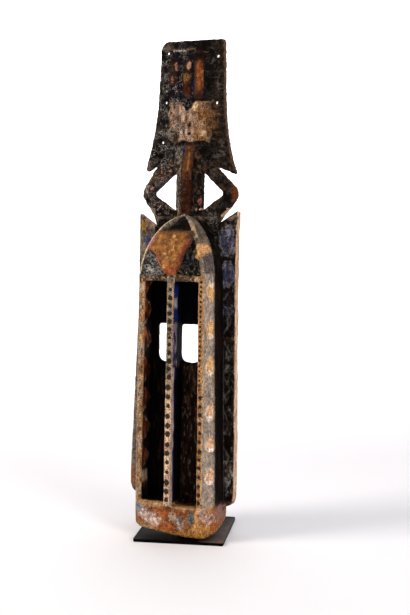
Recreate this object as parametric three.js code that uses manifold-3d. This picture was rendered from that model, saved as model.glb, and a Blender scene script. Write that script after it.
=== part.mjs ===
// A carved wooden face mask with a crest of bent limbs and a flared panel, on its steel display stand.
// Millimetres, +Z up. The origin is the middle of the base plate's underside and the mask faces -Y.
// The mask is worked out in its own upright frame (X right, Y back from the front of the face,
// Z up from the lowest point of the chin) and then leaned back onto the stand.
import * as THREE from "three";
import { mergeVertices } from "three/addons/utils/BufferGeometryUtils.js";
import Module from "manifold-3d";

const wasm = await Module();
wasm.setup();

// Gap kept between pieces that touch
const GAP = 0.3;

// Stand
const PLATE_SIDE = 150;
const PLATE_THICK = 5;
const PLATE_CORNER = 3;
const PLATE_TURN = 10.7;
const ROD_SIDE = 10;
const ROD_TOP = 228;
const CRADLE_WIDTH = 84;
const CRADLE_TALL = 14;
const CRADLE_THICK = 8;

// Place of the mask on the stand
const LEAN = 3.4;
const CHIN_X = -10;
const CHIN_Y = -63;

// Face block
const BACK = 84;
const FRONT_HALF = 57;
const SIDE_HALF = 66;
const RIGHT_FLARE = { front: 3, side: 10.5 };
const LEFT_FLARE = { front: -1, side: 1.2 };
const BEVEL_DEPTH = 24;
const ARCH_FOOT = 436;
const ARCH_TOP = 532;
const ARCH_DEPTH = 62;
const RIM_WIDTH = 7;
const FIELD_SUNK = 3.5;
const FIELD_FOOT = 430;
const FIELD_CROWN = 3;

// Underside of the chin: flat between two places, rising to both corners and to the back
const CHIN_FLAT_LEFT = 30;
const CHIN_FLAT_RIGHT = 52;
const CHIN_LEFT_CORNER = 58;
const CHIN_REAR_FOOT = 18;

// Slots, nose and eyes
const NOSE_HALF = 5.8;
const NOSE_PROUD = 5;
const NOSE_FOOT = 51;
const SLOT_OUTER_TOP = 46.5;
const SLOT_OUTER_LEFT = 47.5;
const SLOT_OUTER_RIGHT = 50.5;
const SLOT_TOP = 422;
const SLOT_FOOT_LEFT = 58;
const SLOT_FOOT_RIGHT = 50.8;
const SLOT_DEPTH = 40;
const SLOT_WALL = 8;
const EYE_INNER = 3.5;
const EYE_OUTER = 38;
const EYE_FOOT = 286;
const EYE_TOP = 350.5;
const HOLLOW_HALF = 58.5;
const HOLLOW_ARCH_FOOT = 400;

// Tongue-shaped boss on the forehead
const TONGUE_TIP = 432;
const TONGUE_TOP = 505;
const TONGUE_PROUD = 7;
const TONGUE_EDGE = 5;

// Triangles chipped out of the bevel strips, point up
const CHIP_TALL = 28;
const CHIP_WIDE = 15;
const CHIP_DEEP = 3;
const CHIP_CENTRES = [103, 157, 215, 286, 345, 399];

// Back plank, wings, limbs and crest panel
const PLANK_FRONT = 66;
const PANEL_FRONT = 76;
const PANEL_THICK = 13;
const PANEL_TOP = 827;
const RIB_PROUD = 3.5;
const PAD_PROUD = 2.5;
const BAND_PROUD = 2;
const HOLE_RADIUS = 2.1;
const NECK_LEFT = 22.5;
const NECK_RIGHT = 24.8;
const RIDGE_HALF = 8;
const RIDGE_FRONT = 56;
const KNEE_RIGHT = 85;
const KNEE_LEFT = 81;
const KNEE_IN_RIGHT = 62.2;
const KNEE_IN_LEFT = 64;
const KNEE_Z = 569;
const WING_FOOT = 42;

const degrees = (angle) => (angle * Math.PI) / 180;
const clamp01 = (value) => Math.min(1, Math.max(0, value));

// A closed geometry becomes a solid once only its positions are left and shared.
function solidOf(geometry) {
  geometry.deleteAttribute("normal");
  geometry.deleteAttribute("uv");
  const merged = mergeVertices(geometry, 1e-4);
  return new wasm.Manifold(new wasm.Mesh({
    numProp: 3,
    vertProperties: new Float32Array(merged.attributes.position.array),
    triVerts: new Uint32Array(merged.index.array),
  }));
}

function geometryOf(solid) {
  const mesh = solid.getMesh();
  const geometry = new THREE.BufferGeometry();
  geometry.setAttribute("position", new THREE.BufferAttribute(new Float32Array(mesh.vertProperties), 3));
  geometry.setIndex(new THREE.BufferAttribute(new Uint32Array(mesh.triVerts), 1));
  geometry.computeVertexNormals();
  return geometry;
}

const join = (solids) => solids.reduce((whole, solid) => whole.add(solid));
const mirrored = (outline) => outline.map(([x, z]) => [-x, z]).reverse();
const mirrorX = (solid) => solid.mirror([1, 0, 0]);

// A front-view outline (x, z) given a thickness from yFront back to yBack
function board(outline, yFront, yBack) {
  const shape = outline instanceof THREE.Shape
    ? outline
    : new THREE.Shape(outline.map(([x, z]) => new THREE.Vector2(x, z)));
  const geometry = new THREE.ExtrudeGeometry(shape, {
    depth: yBack - yFront,
    bevelEnabled: false,
    curveSegments: 6,
  });
  geometry.rotateX(Math.PI / 2);
  geometry.translate(0, yBack, 0);
  return solidOf(geometry);
}

function block(x0, x1, y0, y1, z0, z1) {
  const geometry = new THREE.BoxGeometry(x1 - x0, y1 - y0, z1 - z0);
  geometry.translate((x0 + x1) / 2, (y0 + y1) / 2, (z0 + z1) / 2);
  return solidOf(geometry);
}

// A closed body through rings of [x, y, z] points, anticlockwise seen from above, lowest ring first
function loft(rings) {
  const count = rings[0].length;
  const middle = (ring) => ring
    .reduce((sum, point) => sum.map((value, axis) => value + point[axis]), [0, 0, 0])
    .map((value) => value / count);
  const points = [...rings.flat(), middle(rings[0]), middle(rings[rings.length - 1])];
  const lowest = points.length - 2;
  const highest = points.length - 1;
  const start = (rings.length - 1) * count;
  const faces = [];
  for (let i = 0; i < count; i += 1) {
    const next = (i + 1) % count;
    for (let level = 0; level < rings.length - 1; level += 1) {
      const low = level * count;
      const high = low + count;
      faces.push(low + i, low + next, high + next, low + i, high + next, high + i);
    }
    faces.push(lowest, next, i, highest, start + i, start + next);
  }
  const geometry = new THREE.BufferGeometry();
  geometry.setAttribute("position", new THREE.Float32BufferAttribute(points.flat(), 3));
  geometry.setIndex(faces);
  return solidOf(geometry);
}

// How far up the forehead's arch a height is, from 0 at its foot to 1 at its top
const archShare = (z) => clamp01((z - ARCH_FOOT) / (ARCH_TOP - ARCH_FOOT));
const footShare = (z) => clamp01(1 - z / ARCH_FOOT);
const archFront = (z) => ARCH_DEPTH * (1 - Math.sqrt(1 - archShare(z) ** 2));
const flare = (side) => (side > 0 ? RIGHT_FLARE : LEFT_FLARE);
const archHalf = (z, side) => (FRONT_HALF + flare(side).front * footShare(z))
  * Math.sqrt(1 - archShare(z) ** 2) * (1 - 0.22 * archShare(z));
const archSideHalf = (z, side) => (SIDE_HALF + flare(side).side * footShare(z))
  * (1 - archShare(z) ** 2.4) ** 0.68 * (1 - 0.1 * archShare(z));

// Half of one level of the face, from the field outwards: the field is sunken and slightly crowned on
// the forehead, then come the flat rim, the steep bevel strip and the side
function halfRing(z, side) {
  const front = archFront(z);
  const half = archHalf(z, side);
  const sideHalf = Math.max(archSideHalf(z, side), half + 0.5);
  const bevelBack = Math.min(front + BEVEL_DEPTH, PLANK_FRONT + 2);
  const field = Math.max(half - RIM_WIDTH, half * 0.5);
  const onForehead = clamp01((z - FIELD_FOOT + 1) / 2);
  const sunk = FIELD_SUNK * onForehead;
  const points = [0.35, 0.7].map(
    (share) => [field * share, front + sunk - FIELD_CROWN * onForehead * (1 - share ** 2), z],
  );
  points.push([field - 0.5, front + sunk, z], [field, front, z], [half, front, z]);
  points.push([sideHalf, bevelBack, z], [sideHalf, BACK, z]);
  return points.map(([x, y, level]) => [x * side, y, level]);
}

function faceRing(z) {
  const onForehead = clamp01((z - FIELD_FOOT + 1) / 2);
  const middle = [0, archFront(z) + (FIELD_SUNK - FIELD_CROWN) * onForehead, z];
  return [...halfRing(z, -1).reverse(), middle, ...halfRing(z, 1)];
}

function faceBlock() {
  const rings = [faceRing(-6), faceRing(FIELD_FOOT - 1), faceRing(FIELD_FOOT + 1), faceRing(ARCH_FOOT)];
  const steps = 12;
  for (let i = 1; i <= steps; i += 1) {
    const share = Math.sin((i / steps) * (Math.PI / 2)) * 0.998;
    rings.push(faceRing(ARCH_FOOT + share * (ARCH_TOP - ARCH_FOOT)));
  }
  return loft(rings);
}

// Height of the chin's underside: lowest right of the middle, higher at the corners and the back. The
// slow part of the rise to the back undoes the lean, so that the lowest stretch lies level.
function undersideHeight(x, y) {
  const left = 11 * (Math.max(CHIN_FLAT_LEFT - x, 0) / 84) ** 1.2;
  const leftCorner = x < 0 ? 12 * (Math.min(-x, CHIN_LEFT_CORNER) / CHIN_LEFT_CORNER) ** 24 : 0;
  const right = 10 * (Math.max(x - CHIN_FLAT_RIGHT, 0) / 25) ** 2.4;
  const front = 7 * clamp01((10 - y) / 14) ** 2;
  const back = Math.max(y - CHIN_REAR_FOOT, 0);
  const rear = back * Math.tan(degrees(LEAN)) + 12 * (back / (BACK - CHIN_REAR_FOOT)) ** 2.6;
  return left + leftCorner + right + front + rear;
}

// The space under the chin, a body with the underside as its top
function underside() {
  const halfWide = 110;
  const columns = 44;
  const widest = SIDE_HALF + RIGHT_FLARE.side;
  const depths = [-12, -4, 0, 4, 9, 16, 24, 36, 50, 66, 84, 100];
  const rings = depths.map((y) => {
    const top = [];
    for (let i = 0; i <= columns; i += 1) {
      const x = (2 * halfWide * i) / columns - halfWide;
      top.push([x, y, undersideHeight(Math.min(x, widest), Math.min(y, BACK))]);
    }
    const low = [];
    for (let i = columns; i >= 0; i -= 1) {
      low.push([(2 * halfWide * i) / columns - halfWide, y, -40]);
    }
    return [...top, ...low];
  });
  return loft(rings);
}

// Reach of the tongue boss to each side at a height: a rounded tip that flares to the rims near its top,
// fuller on the left
function tongueHalf(z, side) {
  const share = clamp01((z - TONGUE_TIP) / (TONGUE_TOP - TONGUE_TIP));
  const body = side > 0 ? 26 * share ** 0.38 : 41 * share ** 0.42;
  const spread = side > 0 ? 7.5 * clamp01((share - 0.46) / 0.33) : 16 * clamp01((share - 0.45) / 0.18) ** 1.2;
  return Math.max(1.5, Math.min(body + spread, archHalf(z, side) - RIM_WIDTH * 0.4));
}

function tongue() {
  const rings = [];
  const steps = 14;
  for (let i = 0; i <= steps; i += 1) {
    const z = TONGUE_TIP + ((TONGUE_TOP - TONGUE_TIP) * i) / steps;
    const front = archFront(z);
    const end = Math.min(1, i / 2, (steps - i) / 1.5 + 0.2);
    const proud = front - TONGUE_PROUD * end;
    const [left, right] = [-1, 1].map((side) => {
      const half = tongueHalf(z, side);
      const shoulder = Math.max(half - TONGUE_EDGE, half * 0.55);
      return [
        [shoulder * 0.5 * side, proud, z], [shoulder * side, proud + 1.5, z], [half * side, front + 2, z],
        [half * side, front + 20, z],
      ];
    });
    rings.push([...left.reverse(), [0, proud - 0.8, z], ...right]);
  }
  return loft(rings);
}

// A wing from the slit out to its pointed tip, down its outer edge, and in again at its rounded foot.
// The edge is the list of points from the tip to the foot.
function wing(slit, edge) {
  return board([[40, 490], slit, ...edge, [68, WING_FOOT], [40, WING_FOOT]], PLANK_FRONT, BACK);
}

// One bent limb: out and down from the panel to the knee, then in and down to the forehead's shoulder
function limb(crotch, slit, kneeOut, kneeIn, neckHalf) {
  return [
    [10, 645], crotch, [kneeOut - 3, KNEE_Z + 11], [kneeOut, KNEE_Z + 5], [kneeOut, KNEE_Z - 5],
    [kneeOut - 4, KNEE_Z - 12], [60.5, 531], slit, [44, 490], [10, 490], [10, 534],
    [neckHalf, 539], [kneeIn, KNEE_Z - 3], [kneeIn, KNEE_Z + 3], [neckHalf, 608], [10, 619],
  ];
}

function neck() {
  const section = (z, front, ridge) => [
    [-NECK_LEFT, 83, z], [-NECK_LEFT, front + 9, z], [-RIDGE_HALF - 3, front, z], [-RIDGE_HALF, front, z],
    [-RIDGE_HALF + 1.5, ridge, z], [RIDGE_HALF - 1.5, ridge, z], [RIDGE_HALF, front, z],
    [RIDGE_HALF + 3, front, z], [NECK_RIGHT, front + 9, z], [NECK_RIGHT, 83, z],
  ];
  return loft([
    section(500, PLANK_FRONT - 5, RIDGE_FRONT),
    section(606, PLANK_FRONT - 5, RIDGE_FRONT),
    section(664, PANEL_FRONT + 0.6, PANEL_FRONT - 1),
  ]);
}

// The flared panel, wider towards its two hanging points
function panelShape() {
  const shape = new THREE.Shape();
  shape.moveTo(-20, 636);
  shape.lineTo(-49, 627);
  shape.lineTo(-77.5, 608);
  shape.lineTo(-80, 611);
  shape.quadraticCurveTo(-76, 628, -70, 652);
  shape.quadraticCurveTo(-60, 700, -58.5, 745);
  shape.lineTo(-56.2, PANEL_TOP - 14);
  shape.quadraticCurveTo(-54, PANEL_TOP - 2, -44, PANEL_TOP - 1);
  shape.lineTo(52, PANEL_TOP);
  shape.quadraticCurveTo(57, PANEL_TOP, 57, PANEL_TOP - 6);
  shape.lineTo(58.5, 750);
  shape.quadraticCurveTo(59.5, 700, 67, 655);
  shape.quadraticCurveTo(74, 622, 81.5, 604.5);
  shape.lineTo(79.5, 602.5);
  shape.lineTo(44, 617);
  shape.lineTo(20, 636);
  return shape;
}

// A raised bar on the panel with a rounded section, from its lower end to its upper end
function rib(x0, z0, x1, z1, half) {
  const rings = [];
  const steps = 6;
  for (let i = 0; i <= steps; i += 1) {
    const share = i / steps;
    const x = x0 + (x1 - x0) * share;
    const z = z0 + (z1 - z0) * share;
    const end = i === 0 || i === steps ? 0.35 : 1;
    rings.push([
      [x - half, PANEL_FRONT + 4, z], [x - half, PANEL_FRONT - 0.2, z],
      [x - half * 0.6, PANEL_FRONT - RIB_PROUD * 0.8 * end, z], [x, PANEL_FRONT - RIB_PROUD * end, z],
      [x + half * 0.6, PANEL_FRONT - RIB_PROUD * 0.8 * end, z], [x + half, PANEL_FRONT - 0.2, z],
      [x + half, PANEL_FRONT + 4, z],
    ]);
  }
  return loft(rings);
}

function panel() {
  const plate = board(panelShape(), PANEL_FRONT, PANEL_FRONT + PANEL_THICK);
  const band = board(
    [[-53, 810], [56, 812], [56, 818], [53, 824], [-45, 824], [-52, 819]],
    PANEL_FRONT - BAND_PROUD, PANEL_FRONT + 4,
  );
  const pad = board(
    [[-38, 659], [30, 658], [36, 690], [37, 722], [10, 726], [-7, 708], [-20, 727], [-37, 724], [-41, 700]],
    PANEL_FRONT - PAD_PROUD, PANEL_FRONT + 4,
  );
  const ribs = [rib(-33, 753, -32, 796, 8), rib(-9, 733, -8, 796, 8.5), rib(13, 729, 13, 807, 8.5)];
  return join([plate, band, pad, ...ribs]);
}

// A drilled hole straight through the panel
function drilled(x, z) {
  const geometry = new THREE.CylinderGeometry(HOLE_RADIUS, HOLE_RADIUS, 40, 12);
  geometry.translate(x, PANEL_FRONT + PANEL_THICK / 2, z);
  return solidOf(geometry);
}

// A slot from the front to the back wall, a little wider at its foot than at its top
function slot(side, foot, outerFoot) {
  const outline = [[NOSE_HALF, foot], [outerFoot, foot], [SLOT_OUTER_TOP, SLOT_TOP], [NOSE_HALF, SLOT_TOP]];
  return board(side > 0 ? outline : mirrored(outline), -20, SLOT_DEPTH);
}

// An eye hole through the back wall: nearly square above, round below
function eye(side) {
  const shape = new THREE.Shape();
  const inner = EYE_INNER * side;
  const outer = EYE_OUTER * side;
  const below = 15;
  const above = 5;
  shape.moveTo(inner, EYE_FOOT + below);
  shape.lineTo(inner, EYE_TOP - above);
  shape.quadraticCurveTo(inner, EYE_TOP, inner + above * side, EYE_TOP);
  shape.lineTo(outer - above * side, EYE_TOP);
  shape.quadraticCurveTo(outer, EYE_TOP, outer, EYE_TOP - above);
  shape.lineTo(outer, EYE_FOOT + below);
  shape.quadraticCurveTo(outer, EYE_FOOT, outer - below * side, EYE_FOOT);
  shape.lineTo(inner + below * side, EYE_FOOT);
  shape.quadraticCurveTo(inner, EYE_FOOT, inner, EYE_FOOT + below);
  return board(shape, SLOT_DEPTH - 2, BACK + 10);
}

// The wearer's hollow, open at the back and below, with an arched top
function hollow() {
  const shape = new THREE.Shape();
  shape.moveTo(-HOLLOW_HALF, -20);
  shape.lineTo(HOLLOW_HALF, -20);
  shape.lineTo(HOLLOW_HALF, HOLLOW_ARCH_FOOT);
  shape.quadraticCurveTo(HOLLOW_HALF, HOLLOW_ARCH_FOOT + 50, 0, HOLLOW_ARCH_FOOT + 58);
  shape.quadraticCurveTo(-HOLLOW_HALF, HOLLOW_ARCH_FOOT + 50, -HOLLOW_HALF, HOLLOW_ARCH_FOOT);
  shape.lineTo(-HOLLOW_HALF, -20);
  return board(shape, SLOT_DEPTH + SLOT_WALL, BACK + 20);
}

// A triangle chipped into a bevel strip: deepest along its lower edge, running out to its point
function chip(side, centre, pointUp) {
  const front = archHalf(centre, side);
  const back = archSideHalf(centre, side);
  const along = new THREE.Vector3((back - front) * side, BEVEL_DEPTH, 0).normalize();
  const outward = new THREE.Vector3(along.y * side, -Math.abs(along.x), 0);
  const middle = new THREE.Vector3(((front + back) / 2) * side, BEVEL_DEPTH / 2, centre);
  const up = pointUp ? 1 : -1;
  const at = (across, height, out) => middle.clone()
    .addScaledVector(along, across)
    .addScaledVector(outward, out)
    .add(new THREE.Vector3(0, 0, height * up));
  const corners = [
    at(-CHIP_WIDE / 2, -CHIP_TALL / 2, 4), at(CHIP_WIDE / 2, -CHIP_TALL / 2, 4), at(0, CHIP_TALL / 2 + 14, 4),
    at(-CHIP_WIDE / 2, -CHIP_TALL / 2, -0.6), at(CHIP_WIDE / 2, -CHIP_TALL / 2, -0.6),
    at(0, CHIP_TALL / 2, -0.1), at(0, -CHIP_TALL / 2 + 4, -CHIP_DEEP),
  ];
  const geometry = new THREE.BufferGeometry();
  geometry.setAttribute("position", new THREE.Float32BufferAttribute(corners.flatMap((c) => c.toArray()), 3));
  const faces = [0, 1, 2, 3, 6, 4, 4, 6, 5, 5, 6, 3, 0, 3, 4, 0, 4, 1, 1, 4, 5, 1, 5, 2, 2, 5, 3, 2, 3, 0];
  geometry.setIndex(side * up > 0 ? faces : faces.reverse());
  return solidOf(geometry);
}

function mask() {
  const slitRight = [49, 515];
  const slitLeft = [54, 511];
  const edgeRight = [
    [90.2, 541], [89, 500], [89.4, 420], [89.6, 330], [91.4, 250], [93.3, 110], [93.5, 84], [93.2, 63],
    [92, 54.5], [89, 48], [78, 43],
  ];
  const edgeLeft = [
    [86.5, 536], [86.3, 411], [87.5, 340], [90.3, 260], [94, 150], [95.5, 110], [96, 84], [95.5, 70],
    [92, 60], [80, 50],
  ];
  const wood = join([
    faceBlock(),
    tongue(),
    block(-NOSE_HALF, NOSE_HALF, -NOSE_PROUD, SLOT_DEPTH + 2, NOSE_FOOT, FIELD_FOOT - 2),
    wing(slitRight, edgeRight),
    mirrorX(wing(slitLeft, edgeLeft)),
    board(limb([42.5, 619], slitRight, KNEE_RIGHT, KNEE_IN_RIGHT, NECK_RIGHT), PLANK_FRONT, BACK + 2),
    mirrorX(board(limb([48, 627], slitLeft, KNEE_LEFT, KNEE_IN_LEFT, NECK_LEFT), PLANK_FRONT, BACK + 2)),
    neck(),
    panel(),
  ]);
  const holes = [[-41, 806], [51, 799], [-44, 720], [50, 717], [-48.5, 654]];
  const cuts = [
    slot(-1, SLOT_FOOT_LEFT, SLOT_OUTER_LEFT),
    slot(1, SLOT_FOOT_RIGHT, SLOT_OUTER_RIGHT),
    eye(-1),
    eye(1),
    hollow(),
    underside(),
    ...holes.map(([x, z]) => drilled(x, z)),
  ];
  for (const centre of CHIP_CENTRES) {
    const pointUp = centre !== CHIP_CENTRES[CHIP_CENTRES.length - 1];
    cuts.push(chip(1, centre, pointUp), chip(-1, centre, pointUp));
  }
  return cuts.reduce((whole, cut) => whole.subtract(cut), wood);
}

function basePlate() {
  const half = PLATE_SIDE / 2;
  const shape = new THREE.Shape();
  shape.moveTo(-half + PLATE_CORNER, -half);
  shape.lineTo(half - PLATE_CORNER, -half);
  shape.absarc(half - PLATE_CORNER, -half + PLATE_CORNER, PLATE_CORNER, -Math.PI / 2, 0);
  shape.absarc(half - PLATE_CORNER, half - PLATE_CORNER, PLATE_CORNER, 0, Math.PI / 2);
  shape.absarc(-half + PLATE_CORNER, half - PLATE_CORNER, PLATE_CORNER, Math.PI / 2, Math.PI);
  shape.absarc(-half + PLATE_CORNER, -half + PLATE_CORNER, PLATE_CORNER, Math.PI, Math.PI * 1.5);
  return new THREE.ExtrudeGeometry(shape, {
    depth: PLATE_THICK,
    bevelEnabled: false,
    curveSegments: 4,
  });
}

// The upright inside the hollow and the bar at its top that the mask leans back on. Both are
// parallel to the leaning mask, and the foot is cut level with the plate.
function rod() {
  const barFront = SLOT_DEPTH + SLOT_WALL + GAP;
  const barBack = barFront + CRADLE_THICK;
  const x = -CHIN_X;
  const upright = block(x - ROD_SIDE / 2, x + ROD_SIDE / 2, barBack - 1, barBack - 1 + ROD_SIDE, -20, ROD_TOP);
  const bar = block(x - CRADLE_WIDTH / 2, x + CRADLE_WIDTH / 2, barFront, barBack, ROD_TOP - CRADLE_TALL, ROD_TOP);
  return upright.add(bar);
}

// From the mask's upright frame to the leaning place on the plate
function placement() {
  const turn = new THREE.Matrix4().makeRotationX(-degrees(LEAN));
  const move = new THREE.Matrix4().makeTranslation(CHIN_X, CHIN_Y, 0);
  return move.multiply(turn);
}

function placed(solid, lift) {
  const geometry = geometryOf(solid);
  geometry.applyMatrix4(placement());
  geometry.translate(0, 0, lift);
  return geometry;
}

function named(name, geometry, color, roughness, metalness) {
  const mesh = new THREE.Mesh(geometry, new THREE.MeshStandardMaterial({ color, roughness, metalness }));
  mesh.name = name;
  return mesh;
}

const maskGeometry = placed(mask(), 0);
maskGeometry.computeBoundingBox();
maskGeometry.translate(0, 0, PLATE_THICK + GAP - maskGeometry.boundingBox.min.z);

const rodGeometry = geometryOf(
  solidOf(placed(rod(), PLATE_THICK)).subtract(block(-90, 90, -90, 90, -60, PLATE_THICK + GAP)),
);

const plate = named("stand_base_plate", basePlate(), 0x17181b, 0.42, 0.6);
plate.rotation.z = degrees(PLATE_TURN);

const group = new THREE.Group();
group.name = "carved_mask_on_stand";
group.add(named("wooden_mask", maskGeometry, 0x4a382a, 0.75, 0));
group.add(plate);
group.add(named("stand_rod", rodGeometry, 0x17181b, 0.45, 0.6));

export default group;
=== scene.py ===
# %% [markdown]
# # An old carved mask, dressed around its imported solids
# The mask is one block of wood: a box-shaped face with two deep slots, a domed brow, side wings, bent
# limbs and a flared crest panel. It leans back a little on a blackened steel stand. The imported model
# gives every size and place, so each finished piece is made where its solid lies.

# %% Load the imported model
import itertools
import math
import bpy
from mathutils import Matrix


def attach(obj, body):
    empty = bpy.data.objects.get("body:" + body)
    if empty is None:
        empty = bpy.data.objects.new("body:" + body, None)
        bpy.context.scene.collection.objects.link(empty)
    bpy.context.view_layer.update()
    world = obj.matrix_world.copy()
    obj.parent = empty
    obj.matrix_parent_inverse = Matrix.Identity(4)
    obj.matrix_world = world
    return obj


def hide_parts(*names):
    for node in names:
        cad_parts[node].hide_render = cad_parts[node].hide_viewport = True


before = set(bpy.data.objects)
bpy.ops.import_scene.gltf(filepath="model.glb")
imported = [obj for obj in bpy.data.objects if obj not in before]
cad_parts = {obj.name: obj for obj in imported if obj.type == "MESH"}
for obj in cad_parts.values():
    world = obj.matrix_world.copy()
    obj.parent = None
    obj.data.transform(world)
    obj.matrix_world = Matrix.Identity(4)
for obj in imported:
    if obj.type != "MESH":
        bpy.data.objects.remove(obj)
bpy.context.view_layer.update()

from types import SimpleNamespace

import bpy
import bmesh
import numpy as np

print("nodes:", sorted(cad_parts))

# %% [markdown]
# ## The mask's own frame
# Carving is easiest to describe on the upright mask: X to the right, Y back from the front of the
# face, Z up from the chin, in millimetres. The stand leans the mask back, so small functions carry
# points and directions between the two frames. They use the same lean and chin point as the solids.

# %% From the leaning mask to the upright one and back
LEAN = math.radians(3.4)
CHIN = np.array([-10.0, -63.0, 6.344])
MM = 0.001


def upright(directions):
    x, y, z = np.asarray(directions, float).T
    return np.stack([x, y * math.cos(LEAN) - z * math.sin(LEAN), y * math.sin(LEAN) + z * math.cos(LEAN)], 1)


def to_mask(points):
    return upright(np.asarray(points, float) / MM - CHIN)


def to_part(points):
    x, y, z = np.asarray(points, float).T
    back, up = y * math.cos(LEAN) + z * math.sin(LEAN), -y * math.sin(LEAN) + z * math.cos(LEAN)
    return (np.stack([x, back, up], 1) + CHIN) * MM


# %% Sizes of the carving, in mm on the upright mask
SLOT_OUTER = 48.5
SLOT_TOP = 422
SLOT_FOOT = 55
NOSE_HALF = 5.8
FRONT_HALF = 57
SIDE_HALF = 66
RIGHT_FLARE = {"front": 3, "side": 10.5}
LEFT_FLARE = {"front": -1, "side": 1.2}
BEVEL_DEPTH = 24
ARCH_FOOT = 436
ARCH_TOP = 532
ARCH_DEPTH = 62
RIM_WIDTH = 7
TONGUE_TIP = 432
TONGUE_TOP = 505
PLANK_FRONT = 66
WING_TOP = 545
STRIP_BACK = 2.5
STRIP_FOOT = 50
STRIP_TOP = 431
CHIP_CENTRES = (103, 157, 215, 286, 345, 399)
RIBS = ((-33, 753, 796), (-8.5, 733, 796), (13, 729, 807))

# %% [markdown]
# ## Numbers that vary from place to place
# Old carved surfaces never repeat exactly. A value noise, random numbers on a lattice joined
# smoothly, gives every unevenness its own size in millimetres. The numbers come from a fixed
# formula, so each run gives the same wood.


# %% Steps, bands and noise
def smooth(low, high, value):
    share = np.clip((value - low) / (high - low), 0, 1)
    return share * share * (3 - 2 * share)


def fade(low, high, value):
    return 1 - smooth(low, high, value)


def band(value, low, high, soft):
    return smooth(low - soft, low + soft, value) * fade(high - soft, high + soft, value)


def lattice_value(cell, seed):
    mixed = cell[:, 0] * 374761393 + cell[:, 1] * 668265263 + cell[:, 2] * 1274126177 + seed * 974634777
    mixed = (mixed ^ (mixed >> 13)) * 1103515245 & 0xFFFFFFFF
    mixed = (mixed ^ (mixed >> 15)) * 739981 & 0xFFFFFFFF
    return ((mixed ^ (mixed >> 11)) & 0xFFFF) / 32767.5 - 1


def noise(points, size, seed):
    """Smooth random values from -1 to 1; size is the grain in mm, one number or one for each axis."""
    scaled = points / np.asarray(size, float)
    cell = np.floor(scaled).astype(np.int64)
    part = scaled - cell
    part = part * part * (3 - 2 * part)
    total = np.zeros(len(points))
    for corner in itertools.product((0, 1), repeat=3):
        weight = np.prod(np.where(corner, part, 1 - part), axis=1)
        total += weight * lattice_value(cell + np.array(corner), seed)
    return total


def clouds(points, size, seed):
    size = np.asarray(size, float)
    layers = (noise(points, size / 2**octave, seed + octave) / 2**octave for octave in range(3))
    return sum(layers) / 1.5


# %% [markdown]
# ## Where each kind of surface lies
# The brow is an arch that narrows and leans back to the plank, and the tongue-shaped boss widens to the
# arch's rims. Written as formulas of height they tell, for any point, whether it is on the rim, on
# the boss or in the sunken field between them.


# %% The arch and the tongue as formulas
def arch_share(z):
    return np.clip((z - ARCH_FOOT) / (ARCH_TOP - ARCH_FOOT), 0, 1)


def flare(x, z, kind):
    return np.where(x > 0, RIGHT_FLARE[kind], LEFT_FLARE[kind]) * np.clip(1 - z / ARCH_FOOT, 0, 1)


def arch_half(x, z):
    share = arch_share(z)
    return (FRONT_HALF + flare(x, z, "front")) * np.sqrt(1 - share**2) * (1 - 0.22 * share)


def side_half(x, z):
    share = arch_share(z)
    return (SIDE_HALF + flare(x, z, "side")) * (1 - share**2.4) ** 0.68 * (1 - 0.1 * share)


def arch_front(z):
    return ARCH_DEPTH * (1 - np.sqrt(1 - arch_share(z) ** 2))


def tongue_half(x, z):
    share = np.clip((z - TONGUE_TIP) / (TONGUE_TOP - TONGUE_TIP), 0, 1)
    body = np.where(x > 0, 26 * share**0.38, 41 * share**0.42)
    spread = np.clip(np.where(x > 0, (share - 0.46) / 0.33, (share - 0.45) / 0.18), 0, 1)
    body += np.where(x > 0, 7.5 * spread, 16 * spread**1.2)
    return np.minimum(body, arch_half(x, z) - RIM_WIDTH * 0.4)


# %% Masks for the parts of the carving, each from 0 to 1
def parts_of_carving(p, n):
    x, y, z = p.T
    side = np.abs(x)
    front = smooth(0.25, 0.6, -n[:, 1])
    hollow = (y > 44) & (side < 61) & (z < 463) & (z > -5)
    behind = np.maximum(smooth(0.3, 0.6, n[:, 1]), hollow)
    slot = band(z, SLOT_FOOT - 4, SLOT_TOP + 1, 1) * band(y, 2, 46, 1) * (side < SLOT_OUTER + 3)
    panel = smooth(604, 612, z) * front
    tongue = band(z, TONGUE_TIP, TONGUE_TOP, 1.5) * (side < tongue_half(x, z) + 1) * (y < 60)
    rim_edge = arch_half(x, z) - RIM_WIDTH
    field = band(z, 428, 531, 1.5) * (side < rim_edge + 1) * (y < 62) * (1 - tongue)
    rim = band(z, 430, 533, 2) * (side >= rim_edge) * (side < arch_half(x, z) + 1.5) * (y < 64)
    on_box = (z > 4) & (z < 531) & (y > arch_front(z) - 2) & (y < arch_front(z) + BEVEL_DEPTH + 2)
    bevel = (side > arch_half(x, z) + 0.5) * on_box
    pad_edge = 3.5 * noise(p, 11, 51) + 2 * noise(p, 5, 52)
    notch = 18 * np.clip(1 - np.abs(x + 5) / 13, 0, 1)
    pad = band(x, -39 + pad_edge, 37 + pad_edge, 2) * panel
    pad *= band(z, 659 + pad_edge, 725 + pad_edge - notch, 2)
    ribs = np.zeros(len(p))
    for centre, foot, top in RIBS:
        ribs = np.maximum(ribs, band(x, centre - 7.5, centre + 7.5, 2) * band(z, foot, top, 4) * panel)
    wings = (y > PLANK_FRONT - 4) * (side > side_half(x, z) + 0.5) * (z < WING_TOP) * (z > 30) * front
    chin = fade(50, 57, z + 2 * noise(p, 9, 53))
    return SimpleNamespace(front=front, behind=behind, slot=slot, panel=panel, tongue=tongue, field=field,
                           rim=rim, bevel=bevel, pad=pad, ribs=ribs, wings=wings, chin=chin)


# %% [markdown]
# ## A fine skin of the carved solid
# The solid has the right form, but its faces are flat and its arrises sharp. A voxel remesh lays an
# even net of small faces over it, fine enough for every shallow mark a knife leaves. A few rounds of
# averaging neighbours then wear the arrises round, as handling does.

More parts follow.
